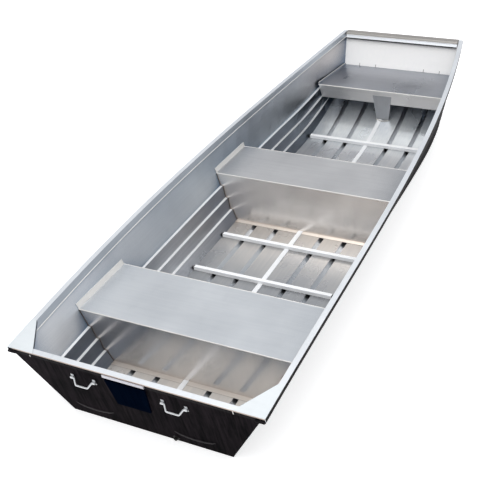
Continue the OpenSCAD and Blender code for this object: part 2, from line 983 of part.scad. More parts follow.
hull_bottom();
hull_side_port();
hull_side_starboard();
transom_panel();
bow_panel();
gunwale_port();
gunwale_starboard();
transom_cap();
bow_cap();
gusset_port();
gusset_starboard();
keelson();
floor_bar_aft();
floor_bar_mid();
floor_bar_fore();
rear_bench_top();
rear_bench_aft_panel();
rear_bench_fore_panel();
mid_bench_top();
mid_bench_aft_panel();
mid_bench_fore_panel();
bow_deck();
bow_deck_fascia();
bow_deck_flange();
bow_deck_bracket();
motor_pad();
drain_plug();
handle_port();
handle_starboard();
handle_bow();
handle_clips_port();
handle_clips_starboard();
handle_clips_bow();
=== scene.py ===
"""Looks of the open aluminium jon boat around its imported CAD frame."""
import math

import bmesh
import bpy
from mathutils import Matrix, Vector


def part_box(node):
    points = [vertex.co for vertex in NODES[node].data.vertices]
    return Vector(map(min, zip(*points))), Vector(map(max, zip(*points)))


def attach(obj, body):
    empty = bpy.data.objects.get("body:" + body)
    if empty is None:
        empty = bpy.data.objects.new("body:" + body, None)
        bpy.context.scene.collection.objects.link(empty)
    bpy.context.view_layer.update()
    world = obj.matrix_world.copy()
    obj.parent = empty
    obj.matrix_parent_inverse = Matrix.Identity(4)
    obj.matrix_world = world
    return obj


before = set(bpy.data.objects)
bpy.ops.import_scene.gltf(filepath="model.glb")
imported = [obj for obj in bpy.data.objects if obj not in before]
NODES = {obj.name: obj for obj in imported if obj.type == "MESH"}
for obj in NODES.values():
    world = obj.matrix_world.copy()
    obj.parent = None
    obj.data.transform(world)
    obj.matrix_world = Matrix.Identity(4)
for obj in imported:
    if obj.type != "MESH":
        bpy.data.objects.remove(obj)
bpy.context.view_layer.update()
SCENE = bpy.context.scene
SIDES = (("port", 1), ("starboard", -1))
BARS = ["floor_bar_aft", "floor_bar_mid", "floor_bar_fore"]
UP = Vector((0, 0, 1))
TO_PORT = Vector((0, 1, 0))
WHITE = (1.0, 1.0, 1.0)

# Painted shade in the corners of a finish: samples that find them, and the openness between a full tint and
# none
CORNER_SHADE_SAMPLES = 6
CORNER_SHADE_RANGE = (0.30, 0.85)

# Rolled sheet: scales of its noises, their shares, and the parts of their range that are used
CLOUD_SCALE = (2.6, 3.1, 2.9)
STAIN_SCALE = (9.0, 11.0, 10.0)
SWELL_SCALE = (3.2, 3.6, 3.4)
CLOUD_SHARE = 0.68
STREAK_SHARE = 0.32
STREAK_RELIEF = 0.006
TONE_RANGE = (0.30, 0.70)
GLOSS_RANGE = (0.32, 0.68)
STAIN_RANGE = (0.58, 0.78)
STAIN_STRENGTH = 0.16
STAIN_SHADE = 0.82
SHEET_WAVE = 0.0004
PANEL_WAVE = 0.00008

# Dark outer skin, in the same way
DRAWN_SCALE = (26.0, 60.0, 2.2)
PATCH_SCALE = (4.0, 4.6, 5.0)
DRAWN_SHARE = 0.6
PATCH_SHARE = 0.4
SKIN_TONE_RANGE = (0.42, 0.66)
SKIN_GLOSS_RANGE = (0.35, 0.65)
DRAWN_RELIEF = 0.0006


class Tree:
    """A material's node tree with short calls."""

    def __init__(self, name):
        self.material = bpy.data.materials.new(name)
        self.material.use_nodes = True
        self.nodes = self.material.node_tree.nodes
        self.links = self.material.node_tree.links
        self.shader = self.nodes["Principled BSDF"]
        self.coords = self.add("ShaderNodeTexCoord").outputs["Object"]

    def add(self, kind, **values):
        made = self.nodes.new(kind)
        for key, value in values.items():
            setattr(made, key, value)
        return made

    def link(self, source, target):
        self.links.new(source, target)

    def constant(self, **values):
        for key, value in values.items():
            self.shader.inputs[key.replace("_", " ")].default_value = value

    def scaled(self, scale):
        mapping = self.add("ShaderNodeMapping")
        mapping.inputs["Scale"].default_value = scale
        self.link(self.coords, mapping.inputs["Vector"])
        return mapping.outputs["Vector"]

    def noise(self, scale, detail, rough=0.55):
        noise = self.add("ShaderNodeTexNoise")
        noise.inputs["Scale"].default_value = 1.0
        noise.inputs["Detail"].default_value = detail
        noise.inputs["Roughness"].default_value = rough
        self.link(self.scaled(scale), noise.inputs["Vector"])
        return noise.outputs["Fac"]

    def spread(self, value, low, high, out_low=0.0, out_high=1.0):
        ranged = self.add("ShaderNodeMapRange")
        ranged.inputs["From Min"].default_value = low
        ranged.inputs["From Max"].default_value = high
        ranged.inputs["To Min"].default_value = out_low
        ranged.inputs["To Max"].default_value = out_high
        self.link(value, ranged.inputs["Value"])
        return ranged.outputs["Result"]

    def lengthwise(self, stops):
        """Painted light and shade by distance along the boat, from places in metres and levels or colours."""
        first, last = stops[0][0], stops[-1][0]
        tints = [tint if isinstance(tint, tuple) else (tint,) * 3 for _, tint in stops]
        places = [(x - first) / (last - first) for x, _ in stops]
        split = self.add("ShaderNodeSeparateXYZ")
        self.link(self.coords, split.inputs["Vector"])
        ramp = self.add("ShaderNodeValToRGB")
        fill_ramp(ramp, list(zip(places, tints)))
        self.link(self.spread(split.outputs["X"], first, last), ramp.inputs["Fac"])
        return ramp.outputs["Color"]

    def corner_shade(self, reach, tint, openness=CORNER_SHADE_RANGE):
        """Painted shade that darkens corners, within a reach in metres, and fades to white in the open."""
        closed = self.add("ShaderNodeAmbientOcclusion", samples=CORNER_SHADE_SAMPLES)
        closed.inputs["Distance"].default_value = reach
        return self.mix(self.spread(closed.outputs["AO"], *openness), tint, WHITE)

    def mix(self, factor, first, second, blend="MIX"):
        mixed = self.add("ShaderNodeMix", data_type="RGBA", blend_type=blend)
        self.feed(factor, mixed.inputs["Factor"])
        self.feed(first, mixed.inputs["A"])
        self.feed(second, mixed.inputs["B"])
        return mixed.outputs["Result"]

    def math(self, operation, first, second):
        done = self.add("ShaderNodeMath", operation=operation)
        self.feed(first, done.inputs[0])
        self.feed(second, done.inputs[1])
        return done.outputs[0]

    def blended(self, first, first_share, second, second_share):
        """Sum of two values by their shares."""
        return self.math("ADD", self.math("MULTIPLY", first, first_share),
                         self.math("MULTIPLY", second, second_share))

    def feed(self, source, target):
        if isinstance(source, bpy.types.NodeSocket):
            self.link(source, target)
        elif isinstance(source, tuple):
            target.default_value = (*source, 1.0)
        else:
            target.default_value = source

    def colour(self, source):
        self.link(source, self.shader.inputs["Base Color"])

    def roughness(self, source):
        self.link(source, self.shader.inputs["Roughness"])

    def bump(self, height, depth):
        bump = self.add("ShaderNodeBump")
        bump.inputs["Distance"].default_value = depth
        self.link(height, bump.inputs["Height"])
        self.link(bump.outputs["Normal"], self.shader.inputs["Normal"])


def fill_ramp(ramp, stops):
    """Sets a colour ramp's stops from places and colours."""
    elements = ramp.color_ramp.elements
    elements.remove(elements[1])
    for i, (place, colour) in enumerate(stops):
        element = elements[0] if i == 0 else elements.new(place)
        element.position = place
        element.color = (*colour, 1.0)


def sheet_metal(name, light, dark, grain, rough, metallic=1.0, wave=SHEET_WAVE, painted_shading=None, corner_shade=None,
                brushed=0.0):
    """Mill-finish aluminium: rolling streaks along the grain and cloudy stains, with painted light and shade
    along the boat and painted shade in corners where given.
    """
    tree = Tree(name)
    tree.constant(Metallic=metallic, Anisotropic=brushed)
    if brushed:
        upward = tree.add("ShaderNodeTangent", direction_type="RADIAL", axis="Y")
        tree.link(upward.outputs["Tangent"], tree.shader.inputs["Tangent"])
    streaks = tree.noise(grain, detail=3.0, rough=0.5)
    clouds = tree.noise(CLOUD_SCALE, detail=3.0)
    stains = tree.noise(STAIN_SCALE, detail=2.0, rough=0.5)
    tone = tree.blended(clouds, CLOUD_SHARE, streaks, STREAK_SHARE)
    base = tree.mix(tree.spread(tone, *TONE_RANGE), dark, light)
    mark = tree.spread(stains, *STAIN_RANGE, 0.0, STAIN_STRENGTH)
    base = tree.mix(mark, base, tuple(STAIN_SHADE * c for c in dark))
    # Painted light and shade: the colour is darkened by different amounts along the boat
    if painted_shading:
        base = tree.mix(1.0, base, tree.lengthwise(painted_shading), "MULTIPLY")
    # Painted shade: the colour darkens in corners that the occlusion finds
    if corner_shade:
        base = tree.mix(1.0, base, tree.corner_shade(*corner_shade), "MULTIPLY")
    tree.colour(base)
    tree.roughness(tree.spread(clouds, *GLOSS_RANGE, *rough))
    swell = tree.noise(SWELL_SCALE, detail=1.0)
    tree.bump(tree.math("ADD", swell, tree.math("MULTIPLY", streaks, STREAK_RELIEF)), wave)
    return tree.material


def dark_sheet(name, light, dark, rough, specular):
    """Dark outer skin with upright drawn streaks and dusty patches."""
    tree = Tree(name)
    tree.constant(Metallic=0.0, Specular_IOR_Level=specular)
    streaks = tree.noise(DRAWN_SCALE, detail=6.0, rough=0.62)
    patches = tree.noise(PATCH_SCALE, detail=4.0)
    tone = tree.blended(streaks, DRAWN_SHARE, patches, PATCH_SHARE)
    tree.colour(tree.mix(tree.spread(tone, *SKIN_TONE_RANGE), dark, light))
    tree.roughness(tree.spread(tone, *SKIN_GLOSS_RANGE, *rough))
    tree.bump(streaks, DRAWN_RELIEF)
    return tree.material


# Scales of the streaks by the way they run
ALONG = (3.0, 90.0, 90.0)
ACROSS = (70.0, 4.0, 70.0)
UPRIGHT = (70.0, 60.0, 4.0)
EVEN = (60.0, 60.0, 60.0)

# Painted light and shade along the boat, from just past the stern to just past the bow
STERN = -1.84
STEM = 1.84
SIDE_SHADE = [
    (STERN, (1.0, 1.0, 1.0)), (-1.2, (1.0, 1.0, 1.0)), (-0.6, (0.70, 0.73, 0.76)),
    (0.0, (0.68, 0.72, 0.75)), (0.5, (0.78, 0.82, 0.86)), (1.1, (0.76, 0.78, 0.80)),
    (1.45, (0.72, 0.68, 0.66)), (STEM, (0.78, 0.72, 0.69)),
]
FLOOR_SHADE = [
    (STERN, (0.78, 0.75, 0.71)), (-1.3, (0.80, 0.77, 0.73)), (-0.7, (0.44, 0.455, 0.475)),
    (-0.3, (0.67, 0.66, 0.65)), (-0.07, (0.48, 0.455, 0.43)), (0.5, (0.68, 0.66, 0.64)),
    (0.95, (0.72, 0.73, 0.75)), (1.15, (0.94, 0.98, 1.0)), (STEM, (0.76, 0.81, 0.88)),
]
STRAKE_SHADE = [
    (STERN, (0.36, 0.37, 0.40)), (-1.3, (0.40, 0.42, 0.45)), (-0.95, (0.75, 0.74, 0.73)),
    (-0.65, (0.95, 0.92, 0.90)), (-0.35, (0.70, 0.68, 0.67)), (-0.12, (0.44, 0.45, 0.48)),
    (0.5, (0.42, 0.43, 0.46)), (1.0, (0.29, 0.31, 0.34)), (STEM, (0.19, 0.21, 0.24)),
]

# Levels of the ribs' painted shade in the open, under a floor bar and at the bow, and the ends of its darkest
# part, a painted shadow, in metres
RIB_OPEN = 0.95
RIB_SHADE_UNDER_BAR = 0.02
RIB_BOW = 0.80
BRIDGE_AFTER = 0.012
BRIDGE_FADE = 0.004


def rib_shade_stops():
    """Ribs' painted shade, almost black as a painted shadow where a floor bar bridges them."""
    painted_shading = [(STERN, RIB_OPEN)]
    for bar in BARS:
        low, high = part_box(bar)
        after = high[0] + BRIDGE_AFTER
        painted_shading += [(low[0] - BRIDGE_FADE, RIB_OPEN), (low[0], RIB_SHADE_UNDER_BAR)]
        painted_shading += [(after, RIB_SHADE_UNDER_BAR), (after + BRIDGE_FADE, RIB_OPEN)]
    return painted_shading + [(STEM, RIB_BOW)]


# Metals given a corner tint below get painted shade in their corners
FLOOR_METAL = sheet_metal("floor_metal", (0.95, 0.93, 0.905), (0.68, 0.70, 0.73), ALONG, (0.24, 0.34), 0.70,
                          painted_shading=FLOOR_SHADE, corner_shade=(0.06, (0.55, 0.56, 0.58)))
# Darker metal for the V-ribs' walls: painted shade, with painted shadow under the floor bars
SHADED_RIB_METAL = sheet_metal("shaded_rib_metal", (0.74, 0.76, 0.78), (0.62, 0.64, 0.67), ALONG, (0.24, 0.36),
                        painted_shading=rib_shade_stops())
SIDE_METAL = sheet_metal("side_metal", (0.93, 0.945, 0.96), (0.80, 0.82, 0.845), ALONG, (0.28, 0.40),
                         painted_shading=SIDE_SHADE, corner_shade=(0.20, (0.10, 0.21, 0.36), (0.45, 0.90)))
# Darker, bluer copy of the side metal: painted dark reflection on the strakes' steep faces
SHADED_STRAKE_METAL = sheet_metal("shaded_strake_metal", (0.70, 0.73, 0.78), (0.46, 0.50, 0.55), ALONG, (0.26, 0.38),
                           painted_shading=STRAKE_SHADE)
LEDGE_METAL = sheet_metal("ledge_metal", (0.86, 0.865, 0.87), (0.74, 0.75, 0.76), ALONG, (0.36, 0.50), 0.3)
RAIL_METAL = sheet_metal("rail_metal", (0.86, 0.885, 0.915), (0.76, 0.79, 0.825), ALONG, (0.32, 0.46), 0.6)
# Darker copy of the rail metal: painted shade on inner lip faces and in the floor bars' creases
SHADED_LIP_METAL = sheet_metal("shaded_lip_metal", (0.60, 0.64, 0.69), (0.48, 0.52, 0.57), ALONG, (0.28, 0.40), 0.9)
GUSSET_METAL = sheet_metal("gusset_metal", (0.83, 0.87, 0.89), (0.76, 0.80, 0.82), ACROSS, (0.34, 0.48), 0.2)
TOP_METAL = sheet_metal("bench_top_metal", (0.77, 0.795, 0.82), (0.66, 0.69, 0.725), ACROSS, (0.32, 0.44),
                        corner_shade=(0.20, (0.60, 0.62, 0.65)))
# Darker, greyer copy of the bench top metal: painted shade on the mid bench's top
SHADED_MID_TOP_METAL = sheet_metal("shaded_mid_bench_metal", (0.73, 0.73, 0.735), (0.62, 0.62, 0.63), ACROSS, (0.32, 0.44),
                            corner_shade=(0.30, (0.38, 0.41, 0.46), (0.45, 0.97)))
PANEL_METAL = sheet_metal("bench_panel_metal", (1.0, 0.95, 0.905), (0.93, 0.88, 0.835), UPRIGHT,
                          (0.14, 0.19), 0.80, PANEL_WAVE, corner_shade=(0.04, (0.90, 0.80, 0.72)), brushed=0.75)
# Darker, browner copy of the bench panel metal: painted shade on the rear bench's panels
SHADED_REAR_PANEL_METAL = sheet_metal("shaded_rear_panel_metal", (0.84, 0.80, 0.77), (0.72, 0.685, 0.66), UPRIGHT,
                               (0.15, 0.20), 0.95, PANEL_WAVE, corner_shade=(0.05, (0.85, 0.77, 0.71)), brushed=0.85)
DECK_METAL = sheet_metal("deck_metal", (0.50, 0.51, 0.545), (0.40, 0.415, 0.45), ACROSS, (0.24, 0.36),
                         corner_shade=(0.14, (0.45, 0.52, 0.60)))
FOOT_METAL = sheet_metal("bench_foot_metal", (0.74, 0.70, 0.655), (0.63, 0.595, 0.56), ACROSS, (0.26, 0.38))
BRACKET_METAL = sheet_metal("bracket_metal", (0.48, 0.49, 0.51), (0.40, 0.41, 0.43), UPRIGHT, (0.30, 0.42))
CAP_METAL = sheet_metal("bow_cap_metal", (0.44, 0.415, 0.39), (0.34, 0.325, 0.31), ACROSS, (0.34, 0.46), 0.7)
FASCIA_METAL = sheet_metal("fascia_metal", (0.82, 0.81, 0.795), (0.70, 0.70, 0.70), ACROSS, (0.26, 0.36))
SEAM_METAL = sheet_metal("seam_metal", (0.12, 0.10, 0.085), (0.06, 0.05, 0.045), ALONG, (0.40, 0.52), 0.3)
TAN_METAL = sheet_metal("cap_edge_metal", (0.66, 0.55, 0.48), (0.50, 0.40, 0.34), ACROSS, (0.34, 0.46), 0.3)
BAR_METAL = sheet_metal("bar_metal", (0.97, 0.975, 0.98), (0.91, 0.92, 0.93), ACROSS, (0.38, 0.52), 0.0)
KEEL_METAL = sheet_metal("keelson_metal", (0.93, 0.94, 0.95), (0.83, 0.84, 0.86), ALONG, (0.38, 0.50), 0.15)
BOW_METAL = sheet_metal("bow_panel_metal", (0.99, 0.975, 0.96), (0.93, 0.925, 0.92), UPRIGHT,
                        (0.38, 0.50), 0.0)
ROD_METAL = sheet_metal("handle_metal", (0.78, 0.79, 0.80), (0.62, 0.63, 0.65), ACROSS, (0.24, 0.36))
# Light cream metal for painted highlights on rolled edges, hems and the benches' end flanges
HIGHLIGHT_EDGE_METAL = sheet_metal("edge_metal", (0.90, 0.88, 0.84), (0.78, 0.765, 0.74), ALONG, (0.30, 0.44), 0.5)
WELD_METAL = sheet_metal("weld_metal", (0.76, 0.745, 0.71), (0.56, 0.55, 0.53), EVEN, (0.34, 0.5), 0.7)
TACK_METAL = sheet_metal("tack_metal", (0.36, 0.355, 0.35), (0.24, 0.235, 0.23), EVEN, (0.4, 0.5), 0.7)
TRIM_METAL = sheet_metal("pad_trim_metal", (0.72, 0.71, 0.76), (0.60, 0.59, 0.64), ACROSS, (0.34, 0.46), 0.4)
SKIN = dark_sheet("outer_skin", (0.024, 0.0185, 0.022), (0.0008, 0.0007, 0.0014), (0.36, 0.52), 0.006)
BEAD_SKIN = dark_sheet("stamped_bead", (0.060, 0.054, 0.056), (0.030, 0.027, 0.029), (0.30, 0.44), 0.15)
EDGE_SKIN = dark_sheet("rail_edge", (0.030, 0.027, 0.029), (0.010, 0.009, 0.010), (0.34, 0.48), 0.01)
# Dark navy for painted shade on the gussets' turned edges
GUSSET_SHADE_SKIN = dark_sheet("shaded_gusset_edge", (0.060, 0.075, 0.105), (0.030, 0.040, 0.062), (0.30, 0.44), 0.2)
PAD_SKIN = dark_sheet("motor_pad_skin", (0.0015, 0.005, 0.014), (0.0008, 0.0024, 0.008), (0.36, 0.48), 0.0)
PLUG_SKIN = dark_sheet("plug_skin", (0.024, 0.022, 0.022), (0.010, 0.009, 0.009), (0.34, 0.5), 0.1)


def dress(node, *materials):
    """Puts materials in a node's slots; the first one shows everywhere."""
    mesh = NODES[node].data
    mesh.materials.clear()
    for material in materials:
        mesh.materials.append(material)
    for polygon in mesh.polygons:
        polygon.material_index = 0


def slot_of(node, material):
    """Index of a material among a node's slots."""
    return NODES[node].data.materials.find(material.name)


def paint(node, material, test):
    """Gives one of a node's materials to its polygons whose centre and normal pass a test."""
    index = slot_of(node, material)
    for polygon in NODES[node].data.polygons:
        if test(polygon.center, polygon.normal):
            polygon.material_index = index


# How much of its normal a face has along an axis to count as level, facing, leaning and so on
LEVEL = 0.9
FACING = 0.5
RIB_SLOPE = 0.4
LEANING = 0.3
INWARD = 0.2
TURNED = 0.1
UNDERSIDE = 0.05

PLAIN = {
    FASCIA_METAL: ["bow_deck_fascia"],
    BRACKET_METAL: ["bow_deck_bracket"],
    DECK_METAL: ["bow_deck"],
    BOW_METAL: ["bow_deck_flange"],
    BAR_METAL: BARS,
    KEEL_METAL: ["keelson"],
    PAD_SKIN: ["motor_pad"],
    PLUG_SKIN: ["drain_plug"],
    ROD_METAL: ["handle_port", "handle_starboard", "handle_bow",
                "handle_clips_port", "handle_clips_starboard", "handle_clips_bow"],
}
for metal, nodes in PLAIN.items():
    for node in nodes:
        dress(node, metal)

# The hull's outer faces are dark, and the V-ribs' walls in the floor get a darker metal as painted shade
dress("hull_bottom", FLOOR_METAL, SKIN, SHADED_RIB_METAL)
paint("hull_bottom", SHADED_RIB_METAL, lambda centre, normal: abs(normal.y) > RIB_SLOPE)
paint("hull_bottom", SKIN, lambda centre, normal: normal.z < -UNDERSIDE)
dress("transom_panel", SKIN, SIDE_METAL)
paint("transom_panel", SIDE_METAL, lambda centre, normal: normal.x > FACING)
dress("bow_panel", BOW_METAL, SKIN)
paint("bow_panel", SKIN, lambda centre, normal: normal.x > FACING)

# Ledges lie below this height, and the strakes this far below the top ledge near them
LEDGES_BELOW = 0.31
LEDGE_MARGIN = 0.012
LEDGE_WINDOW = 0.15


def paint_side(node, side):
    """Bright ledges, strakes below the top ledge up to the bow deck darkened with a painted dark reflection,
    dark outer face.
    """
    dress(node, SIDE_METAL, SKIN, SHADED_STRAKE_METAL, LEDGE_METAL)
    paint(node, LEDGE_METAL, lambda centre, normal: normal.z > LEVEL and centre.z < LEDGES_BELOW)
    slot = slot_of(node, LEDGE_METAL)
    ledges = [p.center for p in NODES[node].data.polygons if p.material_index == slot]
    deck_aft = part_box("bow_deck")[0][0]

    def is_strake(centre, normal):
        if side * normal.y > -TURNED or normal.z > LEVEL or centre.x > deck_aft:
            return False
        return centre.z < max(c.z for c in ledges if abs(c.x - centre.x) < LEDGE_WINDOW) - LEDGE_MARGIN

    # Painted dark reflection on the strakes
    paint(node, SHADED_STRAKE_METAL, is_strake)
    paint(node, SKIN, lambda centre, normal: side * normal.y > TURNED or normal.z < -FACING)


for name, side in SIDES:
    paint_side("hull_side_" + name, side)
    rail = "gunwale_" + name
    dress(rail, RAIL_METAL, SHADED_LIP_METAL, EDGE_SKIN)
    # Painted shade on the lip faces that turn inboard
    paint(rail, SHADED_LIP_METAL, lambda centre, normal: side * normal.y < -LEANING)
    paint(rail, EDGE_SKIN, lambda centre, normal: side * normal.y > FACING)
    gusset = "gusset_" + name
    dress(gusset, GUSSET_METAL, GUSSET_SHADE_SKIN)
    # Painted shade: the gussets' turned flange faces are dark navy
    paint(gusset, GUSSET_SHADE_SKIN, lambda centre, normal: abs(normal.z) < LEANING and side * normal.y < -INWARD)
dress("transom_cap", RAIL_METAL, SHADED_LIP_METAL, EDGE_SKIN)
# Painted shade on the cap's inner face
paint("transom_cap", SHADED_LIP_METAL, lambda centre, normal: normal.x > FACING)
paint("transom_cap", EDGE_SKIN, lambda centre, normal: normal.x < -FACING)
dress("bow_cap", CAP_METAL, RAIL_METAL, EDGE_SKIN)
paint("bow_cap", RAIL_METAL, lambda centre, normal: normal.x < -FACING)
paint("bow_cap", EDGE_SKIN, lambda centre, normal: normal.x > FACING)
for bench, metal, front in (
    ("rear_bench", TOP_METAL, SHADED_REAR_PANEL_METAL),
    ("mid_bench", SHADED_MID_TOP_METAL, PANEL_METAL),
):
    dress(bench + "_top", metal, HIGHLIGHT_EDGE_METAL)
    # Painted highlight on the tops' upturned end flanges
    paint(bench + "_top", HIGHLIGHT_EDGE_METAL, lambda centre, normal: abs(normal.y) > LEANING)
    for panel in (bench + "_aft_panel", bench + "_fore_panel"):
        dress(panel, front, FOOT_METAL)
        paint(panel, FOOT_METAL, lambda centre, normal: normal.z > LEVEL)

# Pieces: tools that build them
SHARP_ANGLE = math.radians(50)
NEAR = 0.0004
LINE_STEPS = 6
THIN_SIDES = 8
DOME_START = 0.4


def finish_piece(name, bm, metal):
    """Turns a bmesh into a piece of the boat."""
    bmesh.ops.recalc_face_normals(bm, faces=bm.faces)
    mesh = bpy.data.meshes.new(name)
    bm.to_mesh(mesh)
    bm.free()
    for polygon in mesh.polygons:
        polygon.use_smooth = True
    mesh.set_sharp_from_angle(angle=SHARP_ANGLE)
    mesh.materials.append(metal)
    piece = bpy.data.objects.new(name, mesh)
    SCENE.collection.objects.link(piece)
    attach(piece, "root")


def circle(radius, sides=10):
    """Closed round section."""
    return [(radius * math.cos(2 * math.pi * k / sides), radius * math.sin(2 * math.pi * k / sides))
            for k in range(sides)]


def rounded_box(width, height, radius, steps=3):
    """Closed section with rounded corners."""
    points = []
    for quarter, (x, y) in enumerate(((1, 1), (-1, 1), (-1, -1), (1, -1))):
        for k in range(steps + 1):
            angle = math.pi / 2 * (quarter + k / steps)
            points.append((x * (width / 2 - radius) + radius * math.cos(angle),
                           y * (height / 2 - radius) + radius * math.sin(angle)))
    return points


def straight(start, end):
    """Straight path in short steps."""
    return [start.lerp(end, k / LINE_STEPS) for k in range(LINE_STEPS + 1)]


def skin_rings(bm, rings):
    """Closed surface over rings of vertices that follow each other."""
    count = len(rings[0])
    for ring, following in zip(rings, rings[1:]):
        for k in range(count):
            n = (k + 1) % count
            bm.faces.new((ring[k], ring[n], following[n], following[k]))
    bm.faces.new(rings[0])
    bm.faces.new(rings[-1])


def sweep(bm, path, section, up=UP, scales=None):
    """Closed section carried along a path, its second axis along up."""
    last = len(path) - 1
    rings = []
    for i, place in enumerate(path):
        ahead = (path[min(i + 1, last)] - path[max(i - 1, 0)]).normalized()
        across = ahead.cross(up).normalized()
        above = across.cross(ahead)
        scale = scales[i] if scales else 1.0
        rings.append([bm.verts.new(place + scale * (a * across + b * above)) for a, b in section])
    skin_rings(bm, rings)


def swept(name, paths, section, metal, up=UP, scales=None):
    """Piece of one section along each of its paths."""
    bm = bmesh.new()
    for path in paths:
        sweep(bm, path, section, up, scales)
    finish_piece(name, bm, metal)


def rounded_ends(start, end, radius, steps=4):
    """Path and scales of a rod whose ends close in a dome."""
    along = (end - start).normalized()
    path, scales = [], []
    for k in range(steps + 1):
        angle = math.pi / 2 * (k + DOME_START) / (steps + DOME_START)
        path.append(start + radius * (1 - math.cos(angle)) * along)
        scales.append(math.sin(angle))
    back = [end - (place - start).length * along for place in reversed(path)]
    return path + back, scales + scales[::-1]


def corners(node, test):
    """Places of a node's vertices that pass a test, each once."""
    places = {tuple(round(c, 6) for c in v.co) for v in NODES[node].data.vertices if test(v.co)}
    return [Vector(place) for place in sorted(places)]


# Rolled edges and hems, in metres
NOSE_RADIUS = 0.0035
NOSE_INSET = 0.001
NOSE_DROP = 0.0025
NOSE_SHARES = (-1, -0.5, 0, 0.5, 1)
FLANGE_HEM_RADIUS = 0.002
HEM_RADIUS = 0.0025
BOW_SHADOW_HEM_RADIUS = 0.004
CAP_EDGE_RADIUS = 0.002
CAP_EDGE_BAND = 0.005
FRAME_DEPTH = 0.03


def edge_across(node, end):
    """Line across the boat along a flanged sheet's end, at the second lowest level of its corners."""
    low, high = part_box(node)
    x = low[0] if end < 0 else high[0]
    at_end = corners(node, lambda co: abs(co.x - x) < NEAR)
    heights = sorted({round(c.z, 4) for c in at_end})
    width = max(c.y for c in at_end if abs(c.z - heights[0]) < NEAR)
    return x, width, heights[1]


def add_noses():
    """Rolled edges of the bench tops and the bow deck, bright as a painted highlight."""
    for node, ends, slot in (
        ("rear_bench_top", (-1, 1), "bench_top"),
        ("mid_bench_top", (-1, 1), "bench_top"),
        ("bow_deck", (-1,), "bow_deck"),
    ):
        paths = []
        for end in ends:
            x, width, z = edge_across(node, end)
            middle = Vector((x - end * NOSE_INSET, 0, z - NOSE_DROP))
            paths.append([Vector((middle.x, share * width, middle.z)) for share in NOSE_SHARES])
        swept(node + "_nose", paths, circle(NOSE_RADIUS), HIGHLIGHT_EDGE_METAL)


def add_flange_hems():
    """Hems along the upturned ends of the benches and the deck's edges, bright as a painted highlight."""
    for node, slot in (
        ("rear_bench_top", "bench_top"),
        ("mid_bench_top", "bench_top"),
        ("bow_deck", "bow_deck"),
    ):
        low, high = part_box(node)
        top = corners(node, lambda co: co.z > high[2] - NEAR)
        paths = []
        for side in (1, -1):
            line = []
            for x in (low[0], high[0]):
                pair = [c for c in top if abs(c.x - x) < NEAR and side * c.y > 0]
                line.append((pair[0] + pair[-1]) / 2)
            paths.append([line[0], (line[0] + line[1]) / 2, line[1]])
        swept(node + "_hem", paths, circle(FLANGE_HEM_RADIUS, THIN_SIDES), HIGHLIGHT_EDGE_METAL)


def lip_line(node):
    """Lower inner edge of a gunwale's inner lip, from its downward faces."""
    found = {}
    for polygon in NODES[node].data.polygons:
        if polygon.normal.z > -LEVEL:
            continue
        for index in polygon.vertices:
            place = NODES[node].data.vertices[index].co
            found[tuple(round(c, 5) for c in place)] = place.copy()
    frames = []
    for place in sorted(found.values(), key=lambda p: p.x):
        if not frames or place.x - frames[-1][0].x > FRAME_DEPTH:
            frames.append([])
        frames[-1].append(place)
    return [min(places, key=lambda p: abs(p.y)) for places in frames]


def add_rail_hems():
    """Hems under the inner lips of the gunwales and the caps, bright as a painted highlight except the bow
    cap's, which is dark as a painted shadow under its lip, and the transom cap's tan outer edge.
    """
    for name, _ in SIDES:
        line = lip_line("gunwale_" + name)
        swept("gunwale_hem_" + name, [line], circle(HEM_RADIUS, THIN_SIDES), HIGHLIGHT_EDGE_METAL)
    for node, end in (("transom_cap", 1), ("bow_cap", -1)):
        low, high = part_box(node)
        x = high[0] if end > 0 else low[0]
        foot = corners(node, lambda co: abs(co.x - x) < NEAR)
        # The bow cap's dark hem is a painted shadow under its lip; the others are painted highlights
        metal, radius = (HIGHLIGHT_EDGE_METAL, HEM_RADIUS) if end > 0 else (EDGE_SKIN, BOW_SHADOW_HEM_RADIUS)
        swept(node + "_hem", [straight(foot[0], foot[-1])], circle(radius, THIN_SIDES), metal)
    low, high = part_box("transom_cap")
    aft = corners("transom_cap", lambda co: co.x < low[0] + NEAR)
    edge = [c for c in aft if c.z > high[2] - CAP_EDGE_BAND]
    section = circle(CAP_EDGE_RADIUS, THIN_SIDES)
    swept("transom_cap_edge", [straight(edge[0], edge[-1])], section, TAN_METAL)


# Band on the bow cap: its lift, its places as shares of the way down the lip, and its sections
LIP_REACH = 0.025
ROLL_LIFT = 0.001
ROLL_SHARE = 0.2
ROLL_SECTION = (0.004, 0.015, 0.0015)
ROLL_HIGHLIGHT_SHARE = 0.43
ROLL_HIGHLIGHT_RADIUS = 0.0022


def add_bow_roll():
    """Dull rolled band with a bright crease, a painted highlight, along the top of the bow cap's inner lip.
    """
    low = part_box("bow_cap")[0]
    lip = corners("bow_cap", lambda co: co.x < low[0] + LIP_REACH)
    foot = [c for c in lip if c.x < low[0] + NEAR]
    fold = [c for c in lip if c.z > max(c.z for c in lip) - NEAR]
    up = Vector((fold[0].x - foot[0].x, 0.0, fold[0].z - foot[0].z)).normalized()
    out = Vector((-up.z, 0.0, up.x))

    def line(share):
        start, end = (fold[i].lerp(foot[i], share) + ROLL_LIFT * out for i in (0, -1))
        return straight(start, end)

    swept("bow_cap_roll", [line(ROLL_SHARE)], rounded_box(*ROLL_SECTION), CAP_METAL, up)
    # Painted highlight along the lip
    crease = circle(ROLL_HIGHLIGHT_RADIUS, THIN_SIDES)
    swept("bow_cap_highlight", [line(ROLL_HIGHLIGHT_SHARE)], crease, BAR_METAL, up)


